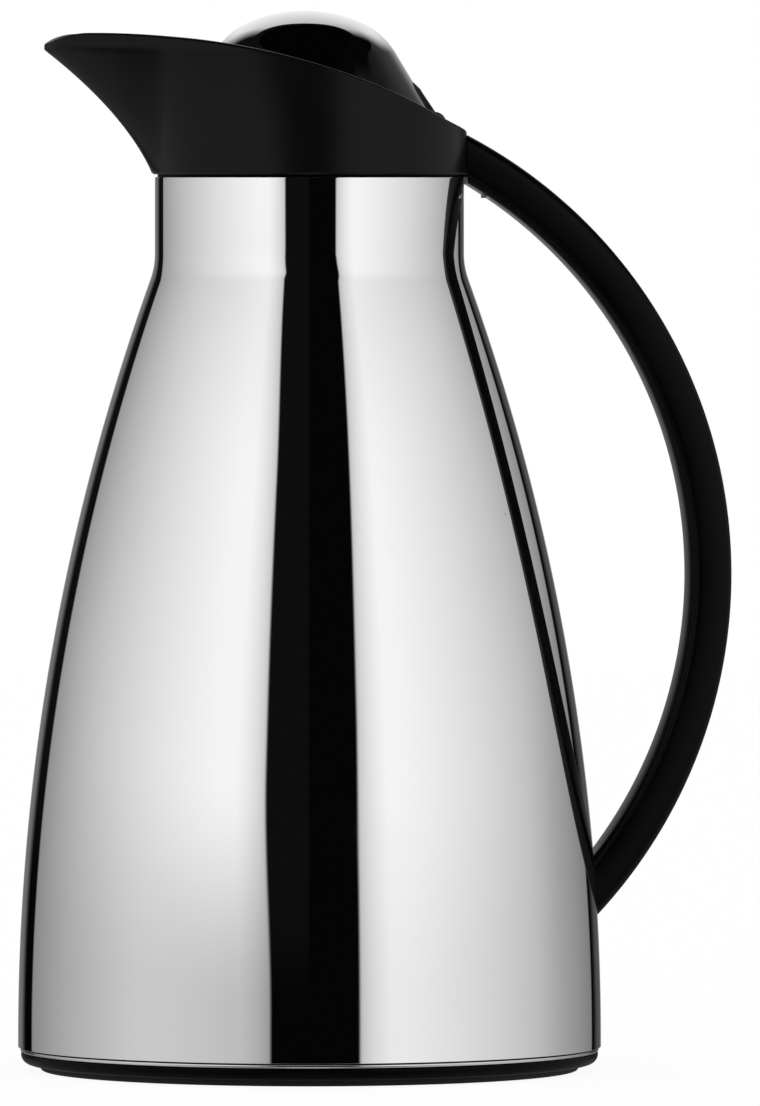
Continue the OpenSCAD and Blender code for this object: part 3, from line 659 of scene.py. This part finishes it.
def makeCollar():
    turns = collarSizes["turns"]
    spread = [2 * i / turns - 1 for i in range(turns)]
    angles = [180 * s * (0.5 + 0.5 * abs(s)) for s in spread]      # closer together at the beak
    sections = [collarSection(abs(angle)) for angle in angles]
    count = len(sections[0])
    deselect()
    bpy.ops.mesh.primitive_torus_add(major_segments=turns, minor_segments=count,
                                     major_radius=0.05, minor_radius=0.01)
    collar = bpy.context.object
    collar.name = collar.data.name = "collar"
    for i, (angle, section) in enumerate(zip(angles, sections)):
        a = math.radians(angle)
        for j, (r, z) in enumerate(section):
            collar.data.vertices[i * count + j].co = (
                -r * math.cos(a) * mm, -r * math.sin(a) * mm, z * mm)
    closeUp(collar, 38)
    dressed(collar, collarPlastic, "body", "black_plastic", "spout_collar")


makeCollar()


# ---- Throat, mouth and flask ----

throatSizes = {
    "floorR": 38.1, "floorDrop": 9.5, "floor": 2, "mouthR": 24.6, "sleeveR": 34.7, "sleeveIn": 32.7,
    "earHalf": 3.1, "earInner": 10.3, "earOuter": 13.3, "earSunk": 0.3, "earRound": 0.35,
}
hinge = Vector(frame["joints"][0]["pos_m"]) / mm


def hingeEar(side):
    # An upright cylinder end round the pin, its lower half drawn straight down to the floor
    half, inner, outer = throatSizes["earHalf"], throatSizes["earInner"], throatSizes["earOuter"]
    floorTop = hinge.z - throatSizes["floorDrop"]
    deselect()
    bpy.ops.mesh.primitive_cylinder_add(
        vertices=40, radius=half * mm, depth=(outer - inner) * mm,
        location=(hinge.x * mm, side * (inner + outer) / 2 * mm, hinge.z * mm),
        rotation=(math.pi / 2, 0, 0))
    ear = bpy.context.object
    bpy.ops.object.transform_apply(location=True, rotation=True)
    for vertex in ear.data.vertices:
        if vertex.co.z < (hinge.z - 0.1) * mm:
            vertex.co.z = (floorTop - throatSizes["earSunk"]) * mm
            vertex.co.x = (hinge.x + math.copysign(half, vertex.co.x / mm - hinge.x)) * mm
    finishWith(ear, "BEVEL", width=throatSizes["earRound"] * mm, segments=3, limit_method="ANGLE",
               angle_limit=math.radians(50))
    return ear


def makeThroat():
    floorR, sleeveR = throatSizes["floorR"], throatSizes["sleeveR"]
    mouthR, sleeveIn = throatSizes["mouthR"], throatSizes["sleeveIn"]
    floorTop = hinge.z - throatSizes["floorDrop"]
    floorLow, sleeveLow = floorTop - throatSizes["floor"], low("throat_insert").z
    piece = turned("throat", rounded([
        (mouthR, floorTop, 0.5), (mouthR, floorLow, 0.3), (sleeveIn, floorLow, 0),
        (sleeveIn, sleeveLow, 0.4), (sleeveR, sleeveLow, 0.6), (sleeveR, floorLow, 0),
        (floorR, floorLow, 0.3), (floorR, floorTop, 0.8)]), 176)
    for side in (-1, 1):
        ear = hingeEar(side)
        pick(piece)
        ear.select_set(True)
        bpy.ops.object.join()
    smoothed(piece, 35)
    dressed(piece, innerPlastic, "body", "black_plastic", "throat_insert")


makeThroat()


def makeFlask():
    flask = {"bodyR": 56, "neckR": 31, "round": 28, "glass": 1.5, "gap": 4, "tip": 3,
             "shoulderDrop": 97, "neckDrop": 17, "lipInset": 0.2, "rows": 40}
    bottom, top = low("vacuum_flask").z + flask["tip"], high("vacuum_flask").z
    shoulderZ, neckZ = top - flask["shoulderDrop"], top - flask["neckDrop"]
    bodyR, neckR, curve = flask["bodyR"], flask["neckR"], flask["round"]

    def bodyAt(z):
        part = min(max((z - shoulderZ) / (neckZ - shoulderZ), 0), 1)
        return neckR + (bodyR - neckR) * (1 + math.cos(math.pi * part)) / 2

    def skin(inset):
        lower = [(bodyR - curve + (curve - inset) * math.sin(a),
                  bottom + curve - (curve - inset) * math.cos(a))
                 for a in (math.radians(90 * k / 12) for k in range(13))]
        return lower + [(bodyAt(z) - inset, z) for z in evenly(shoulderZ, neckZ, flask["rows"])]

    thickness = 2 * flask["glass"] + flask["gap"]
    lip = thickness / 2 - flask["lipInset"]
    middle = neckR - thickness / 2
    mouth = [(middle + lip * math.cos(a), top - lip + lip * math.sin(a))
             for a in (math.radians(15 * k) for k in range(13))]
    outline = [(0, bottom)] + skin(0) + mouth + skin(thickness)[::-1] + [(0, bottom + thickness)]
    piece = turned("flask", outline, 160)
    dressed(piece, glass, "body", "silvered_glass", "vacuum_flask")


makeFlask()


def makeGasket():
    mouthGasket = {"mouthR": 24.6, "neckR": 31.1, "lipGap": 0.1}
    inner, outer, neck = mouthGasket["mouthR"], high("mouth_gasket").x, mouthGasket["neckR"]
    bottom, top = low("mouth_gasket").z, high("mouth_gasket").z
    lipTop = high("vacuum_flask").z + mouthGasket["lipGap"]
    piece = turned("mouthGasket", rounded([
        (inner, lipTop, 0.4), (neck, lipTop, 0), (neck, bottom, 0.3),
        (outer, bottom, 0.5), (outer, top, 0.3), (inner, top, 0.5)]), 128)
    dressed(piece, silicone, "body", "clear_silicone", "mouth_gasket")


makeGasket()
print("collar, throat and flask ready")


# ---- Lid ----

lidSizes = {
    "axisX": -1.2, "crown": 36, "crownEnd": 25, "shoulderEnd": 59, "flankRun": 10.74,
    "skirtR": 34.3, "bend": 1.6, "wall": 0.7, "crownRows": 14, "shoulderRows": 30, "flankRows": 10,
    "notchX": 26.3, "notchHalf": 13.9, "notchTop": 249.0, "notchLength": 30, "notchHeight": 20,
}


def domeOutline(inset):
    # From the top of the dome down to the skirt, drawn in by inset
    top, bottom = high("lid_dome").z, low("lid_dome").z
    crown, skirtR = lidSizes["crown"], lidSizes["skirtR"]
    crownEnd = math.radians(lidSizes["crownEnd"])
    shoulderEnd = math.radians(lidSizes["shoulderEnd"])
    shoulder = ((skirtR - lidSizes["flankRun"] - crown * math.sin(crownEnd))
                / (math.sin(shoulderEnd) - math.sin(crownEnd)))
    centreR = (crown - shoulder) * math.sin(crownEnd)
    centreZ = top - crown + (crown - shoulder) * math.cos(crownEnd)
    outline = [((crown - inset) * math.sin(a), top - crown + (crown - inset) * math.cos(a))
               for a in evenly(0, crownEnd, lidSizes["crownRows"])]
    outline += [(centreR + (shoulder - inset) * math.sin(a),
                 centreZ + (shoulder - inset) * math.cos(a))
                for a in evenly(crownEnd, shoulderEnd, lidSizes["shoulderRows"])[1:]]
    flankR = centreR + shoulder * math.sin(shoulderEnd)
    flankZ = centreZ + shoulder * math.cos(shoulderEnd)
    bendZ = flankZ - (skirtR - flankR) * math.tan(shoulderEnd)
    bendZ -= inset * math.tan((math.pi / 2 - shoulderEnd) / 2)
    bend = rounded([(flankR, flankZ, 0), (skirtR - inset, bendZ, lidSizes["bend"] - inset),
                    (skirtR - inset, bottom, 0)], 6)
    rows = lidSizes["flankRows"]
    (startR, startZ), (bendR, bendStart) = outline[-1], bend[1]
    flankRun = [(startR + (bendR - startR) * k / rows, startZ + (bendStart - startZ) * k / rows)
                for k in range(1, rows)]
    return outline + flankRun + bend[1:-1] + [(skirtR - inset, bottom)]


def makeDome():
    outline = domeOutline(0) + domeOutline(lidSizes["wall"])[::-1]
    dome = turned("dome", outline, 224, lidSizes["axisX"])
    length, height = lidSizes["notchLength"], lidSizes["notchHeight"]
    deselect()
    bpy.ops.mesh.primitive_cube_add(size=1, location=(
        (lidSizes["notchX"] + length / 2) * mm, 0, (lidSizes["notchTop"] - height / 2) * mm))
    notch = bpy.context.object
    notch.scale = (length * mm, 2 * lidSizes["notchHalf"] * mm, height * mm)
    bpy.ops.object.transform_apply(location=True, scale=True)
    cutAway(dome, notch)
    smoothed(dome, 28)
    dressed(dome, steel, "lid", "polished_steel", "lid_dome")


makeDome()


cadDoublesWithin = 0.005     # vertices of a CAD node this close are one
flatBelow = 0.5              # its faces that meet below this angle become one


def copiedNode(name, node, edge, angle=40):
    # A merged copy of a CAD node with its sharp edges softened
    source = frame["nodes"][node]
    piece = bpy.data.objects.new(name, source.data.copy())
    bpy.context.scene.collection.objects.link(piece)
    pick(piece)
    editAll()
    bpy.ops.mesh.remove_doubles(threshold=cadDoublesWithin * mm)
    bpy.ops.mesh.dissolve_limited(angle_limit=math.radians(flatBelow))
    bpy.ops.object.mode_set(mode="OBJECT")
    finishWith(piece, "BEVEL", width=edge * mm, segments=2, limit_method="ANGLE",
               angle_limit=math.radians(angle), use_clamp_overlap=True)
    smoothed(piece, 35)
    return piece


def makeLidBase():
    thumb = {"foot": 249.5, "thin": 0.4, "bend": 255, "tuck": 0.3}
    base = copiedNode("lidBase", "lid_base", 0.18)
    for vertex in base.data.vertices:      # the thumb tab lies close to the dome and ends under it
        z = vertex.co.z / mm
        if z > thumb["foot"]:
            vertex.co.x -= thumb["thin"] * mm
        if z > thumb["bend"]:
            vertex.co.z -= (z - thumb["bend"]) * thumb["tuck"] * mm
    dressed(base, innerPlastic, "lid", "black_plastic", "lid_base")


def makeStopper():
    stopper = {"tipR": 20, "taperR": 23.8, "taperRise": 8, "wall": 1.8, "flangeR": 27.8,
               "sealGap": 0.1}
    tipR, taperR, flangeR, wall = (stopper[size] for size in ("tipR", "taperR", "flangeR", "wall"))
    bottom, top = low("lid_plug").z, high("lid_plug").z
    sealTop, sealLow = high("lid_seal").z, low("lid_seal").z
    seatZ = bottom + stopper["taperRise"]
    plug = turned("stopper", rounded([
        (0, bottom, 0), (tipR, bottom, 1.2), (taperR, seatZ, 1.0), (taperR, sealTop, 0),
        (flangeR, sealTop, 0.3), (flangeR, top, 0.3), (taperR - wall, top, 0.3),
        (taperR - wall, seatZ, 0), (tipR - wall, bottom + wall, 0.8), (0, bottom + wall, 0)]), 160)
    dressed(plug, innerPlastic, "lid", "black_plastic", "lid_plug")

    inner, outer = taperR + stopper["sealGap"], high("lid_seal").x
    seal = turned("stopperSeal", rounded([
        (inner, sealLow, 0.4), (outer, sealLow, 0.6),
        (outer, sealTop, 0.5), (inner, sealTop, 0.2)]), 128)
    dressed(seal, silicone, "lid", "clear_silicone", "lid_seal")


makeLidBase()
makeStopper()


def makeSpring():
    # One unbroken wire: a leg up from the floor, the turns, and a leg over the lid's plate
    spring = {"coilR": 2.4, "wire": 0.8, "turns": 6.25, "pitch": 1.3, "perTurn": 28,
              "legDown": 8.5, "legOver": 5.5, "kink": 0.4}

    def onCoil(t):
        a = math.tau * t
        along = spring["pitch"] * (t - spring["turns"] / 2)
        return hinge + Vector((spring["coilR"] * math.cos(a), along, spring["coilR"] * math.sin(a)))

    first, last = onCoil(0), onCoil(spring["turns"])
    count = int(spring["turns"] * spring["perTurn"])
    line = [first - Vector((0, 0, spring[drop])) for drop in ("legDown", "kink")]
    line += [onCoil(k / spring["perTurn"]) for k in range(count + 1)]
    line += [last - Vector((spring[run], 0, 0)) for run in ("kink", "legOver")]
    deselect()
    curve = bpy.data.curves.new("lidSpring", "CURVE")
    curve.dimensions = "3D"
    curve.bevel_depth = spring["wire"] / 2 * mm
    curve.bevel_resolution = 3
    curve.use_fill_caps = True
    strand = curve.splines.new("POLY")
    strand.points.add(len(line) - 1)
    for point, place in zip(strand.points, line):
        point.co = (*(place * mm), 1)
    piece = bpy.data.objects.new("lidSpring", curve)
    bpy.context.scene.collection.objects.link(piece)
    pick(piece)
    bpy.ops.object.convert(target="MESH")
    smoothed(piece, 60)
    dressed(piece, dullSteel, "lid", "plain_steel", "hinge_spring")


makeSpring()


def makeFoam():
    edge = 0.8
    filling = copiedNode("lidFoam", "lid_insulation", edge)
    dressed(filling, foam, "lid", "white_foam", "lid_insulation")
    ring = copiedNode("flaskFoam", "flask_pad", edge)
    dressed(ring, foam, "body", "white_foam", "flask_pad")


makeFoam()
print("lid ready")


# ---- Handle ----

handleSizes = {
    "centreX": -18.56, "centreZ": 128.4, "outerR": 128.7, "depth": 11, "width": 15, "round": 3,
    "start": -46, "sweep": 110, "steps": 132, "collarR": 41.0, "gap": 0.1,
    "cutLow": 20, "cutHigh": 228, "collarCutLow": 215, "collarCutHigh": 260,
}


def makeHandle():
    sizes = handleSizes
    middleR = sizes["outerR"] - sizes["depth"] / 2
    start = math.radians(sizes["start"])
    deselect()
    bpy.ops.mesh.primitive_plane_add(size=1, location=(0, 0, 0))
    handle = bpy.context.object
    handle.name = handle.data.name = "bowHandle"
    handle.scale = (sizes["depth"] * mm, sizes["width"] * mm, 1)
    bpy.ops.object.transform_apply(scale=True)
    editAll()
    bpy.ops.mesh.bevel(offset=sizes["round"] * mm, segments=6, affect="VERTICES")
    bpy.ops.object.mode_set(mode="OBJECT")
    handle.location = ((sizes["centreX"] + middleR * math.cos(start)) * mm, 0,
                       (sizes["centreZ"] + middleR * math.sin(start)) * mm)
    handle.rotation_euler = (0, -start, 0)
    bpy.ops.object.transform_apply(location=True, rotation=True)
    editAll()
    bpy.ops.mesh.spin(steps=sizes["steps"], angle=math.radians(sizes["sweep"]),
                      center=(sizes["centreX"] * mm, 0, sizes["centreZ"] * mm), axis=(0, 1, 0))
    closeUp(handle, 40)

    bottom, top = sizes["cutLow"], sizes["cutHigh"]
    inside = [(shellAt(z) + sizes["gap"], z) for z in evenly(bottom, shellSizes["shoulderZ"], 80)]
    shellCutter = turned("shellCutter", [(0, bottom)] + inside + [(neckR, top), (0, top)], 256)
    bottom, top, collarR = sizes["collarCutLow"], sizes["collarCutHigh"], sizes["collarR"]
    collarCutter = turned("collarCutter", [
        (0, bottom), (collarR, bottom), (collarR, top), (0, top)], 256)
    cutAway(handle, shellCutter, collarCutter)
    smoothed(handle, 40)
    dressed(handle, handlePlastic, "body", "black_plastic", "handle")


makeHandle()
print("handle ready")


# ---- Finishes of the hidden CAD nodes; the upper bracket is painted near-black as shade in the groove ----

hiddenFinishesAndShade = {
    # the upper bracket's near-black steel is painted shade for the groove under the collar
    "flask_cushion": rubber, "neck_nut": innerPlastic, "upper_bracket": paintedShadeSteel,
    "hinge_pin": dullSteel, "plug_screws": dullSteel, "lower_bracket": dullSteel,
    "handle_screws": dullSteel,
}
for nodeName, finish in hiddenFinishesAndShade.items():
    node = frame["nodes"][nodeName]
    node.data.materials.clear()
    node.data.materials.append(finish)


# ---- Studio ----

studioSizes = {
    "turn": -7.6, "radius": 900, "bottom": -110, "height": 1600,
    "floor": 6000, "floorDrop": 0.05, "floorGrey": 0.95, "floorWhite": 0.93,
}


def heading(tree, x, y):
    # Degrees round the axis from the camera's side, growing to the right
    return tree.number("Math", {"operation": "ARCTAN2"}, {0: x, 1: 0 - y}, 0).degrees()


def makeWorld():
    # White for the camera and even light for what is matt. What is glossy sees a dark ceiling
    # and a pale table, which is dark in front but for its nearest strip, and dimmer behind.
    # Each ramp is (start, end, first value, last value).
    air = {
        "ceiling": 0.001, "horizon": (-0.16, -0.1, 1, 0), "shallow": (-0.6, -0.5, 0, 1),
        "strip": (10, 26, 0.45, 0), "front": (28, 78, 0.12, 0.55), "rear": (100, 150, 1, 0.4),
        "shade": (8, 26, 0.9, 0),
    }
    world = bpy.data.worlds.new("studioAir")
    bpy.context.scene.world = world
    world.cycles.sampling_method = "NONE"
    tree = Tree(world)
    ray = tree.node("LightPath", {}, {})
    camera = Number(tree, ray.outputs["Is Camera Ray"])
    glossy = Number(tree, ray.outputs["Is Glossy Ray"])
    place = tree.node("TexCoord", {}, {})
    way = tree.node("SeparateXYZ", {}, {"Vector": place.outputs["Generated"]})
    x, y, up = (Number(tree, way.outputs[k]) for k in range(3))
    away = abs(heading(tree, x, y) - studioSizes["turn"])
    shallow = up.step(*air["shallow"])
    table = away.step(*air["strip"]) * (1 - shallow)
    table = table + away.step(*air["front"]) * away.step(*air["rear"])
    table = table * (1 - shallow * away.step(*air["shade"]))
    mirrored = up.step(*air["horizon"]) * (table - air["ceiling"]) + air["ceiling"]
    strength = camera + (1 - camera) * (1 - glossy * (1 - mirrored))
    light = tree.node("Background", {}, {"Color": grey(1.0), "Strength": strength})
    tree.node("OutputWorld", {}, {"Surface": light.outputs[0]})


def makeFloor():
    # White for the camera but for a trace of the object's shadow, and unseen by what is glossy
    sizes = studioSizes
    deselect()
    bpy.ops.mesh.primitive_plane_add(
        size=sizes["floor"] * mm, location=(0, 0, -sizes["floorDrop"] * mm))
    floor = bpy.context.object
    floor.name = "floor"
    material = bpy.data.materials.new("paleFloor")
    tree = Tree(material)
    ray = tree.node("LightPath", {}, {})
    side = tree.node("NewGeometry", {}, {})
    matt = tree.node("BsdfDiffuse", {}, {"Color": grey(sizes["floorGrey"])})
    white = tree.node("Emission", {}, {"Color": grey(1.0)})
    camera = Number(tree, ray.outputs["Is Camera Ray"])
    glossy = Number(tree, ray.outputs["Is Glossy Ray"])
    below = Number(tree, side.outputs["Backfacing"])
    seen = tree.node("MixShader", {}, {
        0: camera * sizes["floorWhite"], 1: matt.outputs[0], 2: white.outputs[0]})
    clear = tree.node("BsdfTransparent", {}, {})
    both = tree.node("MixShader", {}, {
        0: glossy.maths("MAXIMUM", glossy, below), 1: seen.outputs[0], 2: clear.outputs[0]})
    tree.node("OutputMaterial", {}, {"Surface": both.outputs[0]})
    floor.data.materials.append(material)


wallLight = {
    # Each ramp is (start, end, first value, last value). These run over the height:
    "leftFoot": (0, 250, 3, 0), "leftTop": (600, 900, 0, 2.6),
    "rightFoot": (150, 320, 0, 0.7), "rightTop": (250, 850, 0, 3.5),
    "footDim": (0, 250, 1, 0), "rearFoot": (80, 250, 1, 0), "topDim": (550, 850, 1, 0.91),
    "backStart": (200, 850, 170, 140), "backDim": (300, 1500, 1, 0.5),
    "footGlow": (0, 120, 0, 0.003),
    # These run over degrees away from the front:
    "gapDim": (25, 75, 0.22, 0), "rearDim": (95, 120, 0, 0.13), "roof": (50, 145, 1000, 500),
    "fillTop": (60, 118, 1450, 970), "fill": (105, 150, 0.009, 0.05), "fillEnd": (160, 180, 1, 0),
    "band": (147.5, 158, 0, 0.16), "bandRight": (160, 180, 0.5, 0),
    # These soften an edge and run across it:
    "gapEdge": (-0.7, 0.8, 0, 1), "roofEdge": (-80, 60, 1, 0), "flagEdge": (-1.5, 0.5, 1, 0),
    "fillEdge": (-8, 8, 1, 0), "backEdge": (-8, 16, 0, 0.75), "backTop": (-60, 20, 1, 0),
    # Single values:
    "gapLeft": 17.3, "gapRight": 19.2, "riseWidth": 12, "riseFrom": 0.5,
    "key": 0.99, "tail": 0.325, "fallStart": 36, "fallWidth": 103, "fallPower": 1.15,
    "leftDim": 0.22, "rightLift": 0.12, "flagLeft": 139, "flagRight": 146,
    "backHeight": 1370, "glow": 0.0016,
}


def keyLight(right, away, height):
    # Two wide panels with the dark gap between them, brightest beside it and falling off backwards
    wall = wallLight
    leftEdge = wall["gapLeft"] - height.step(*wall["leftFoot"]) + height.step(*wall["leftTop"])
    rightEdge = wall["gapRight"] + height.step(*wall["rightFoot"]) + height.step(*wall["rightTop"])
    beside = away - (leftEdge + right * (rightEdge - leftEdge))
    rise = (beside.maths("MAXIMUM", beside, 0) / wall["riseWidth"]) ** 0.5
    rise = rise * (1 - wall["riseFrom"]) + wall["riseFrom"]
    rise = rise.maths("MINIMUM", rise, 1)
    span = (away - wall["fallStart"]) / wall["fallWidth"]
    span = span.maths("MAXIMUM", span, 0)
    fall = wall["key"] - (wall["key"] - wall["tail"]) * span ** wall["fallPower"]
    nearGap = away.step(*wall["gapDim"])
    footDim = wall["leftDim"] + nearGap - right * (nearGap + wall["rightLift"])
    dim = 1 - height.step(*wall["footDim"]) * footDim
    dim = dim - right * away.step(*wall["rearDim"]) * height.step(*wall["rearFoot"])
    flag = wall["flagLeft"] + right * (wall["flagRight"] - wall["flagLeft"])
    level = beside.step(*wall["gapEdge"]) * rise * fall * dim * height.step(*wall["topDim"])
    return level * (away - flag).step(*wall["flagEdge"])


def backLight(right, away, height):
    # A wide light behind the object, with a dimmer band on each side of it
    wall = wallLight
    inside = away - height.step(*wall["backStart"])
    back = inside.step(*wall["backEdge"]) * height.step(*wall["backDim"])
    band = away.step(*wall["band"]) * (1 - right * away.step(*wall["bandRight"]))
    return (back + band) * (height - wall["backHeight"]).step(*wall["backTop"])


def wallLevel(right, away, height):
    wall = wallLight
    roof = (height - away.step(*wall["roof"])).step(*wall["roofEdge"])
    fill = right * (1 - roof) * (height - away.step(*wall["fillTop"])).step(*wall["fillEdge"])
    fill = fill * away.step(*wall["fill"]) * away.step(*wall["fillEnd"])
    glow = wall["glow"] + (1 - right) * height.step(*wall["footGlow"])
    return keyLight(right, away, height) * roof + fill + backLight(right, away, height) + glow


def makeLightWall():
    # A round wall of soft light that only glossy surfaces see, open towards the camera
    sizes = studioSizes
    bottom, height = sizes["bottom"], sizes["height"]
    deselect()
    bpy.ops.mesh.primitive_cylinder_add(
        vertices=180, radius=sizes["radius"] * mm, depth=(height - bottom) * mm,
        end_fill_type="NOTHING", location=(0, 0, (height + bottom) / 2 * mm))
    wall = bpy.context.object
    wall.name = "lightWall"
    bpy.ops.object.transform_apply(location=True)
    material = bpy.data.materials.new("softLight")
    material.cycles.emission_sampling = "NONE"
    tree = Tree(material)
    place = tree.node("SeparateXYZ", {}, {"Vector": tree.place()})
    x, y, z = (Number(tree, place.outputs[k]) for k in range(3))
    turn = heading(tree, x, y)
    level = wallLevel(turn > 0, abs(turn), z / mm)
    light = tree.node("Emission", {}, {"Color": grey(1.0), "Strength": level})
    tree.node("OutputMaterial", {}, {"Surface": light.outputs[0]})
    wall.data.materials.append(material)
    wall.rotation_euler.z = math.radians(sizes["turn"])
    wall.visible_camera = wall.visible_diffuse = wall.visible_shadow = False
    wall.visible_transmission = wall.visible_volume_scatter = False


def makeCamera():
    # Level with the neck, far away, aimed at the middle of the photograph's frame
    view = {"place": (18.3, -3690, 232), "aim": (18.3, 0, 134.2), "lens": 463}
    turn = Matrix.Rotation(math.radians(studioSizes["turn"]), 3, "Z")
    place, aim = turn @ Vector(view["place"]) * mm, turn @ Vector(view["aim"]) * mm
    data = bpy.data.cameras.new("camera")
    data.lens = view["lens"]
    data.clip_end = 100
    camera = bpy.data.objects.new("camera", data)
    bpy.context.scene.collection.objects.link(camera)
    camera.location = place
    camera.rotation_euler = (aim - place).to_track_quat("-Z", "Y").to_euler()
    bpy.context.scene.camera = camera


makeWorld()
makeFloor()
makeLightWall()
makeCamera()
bpy.context.scene.view_settings.view_transform = "Standard"
print("studio ready")
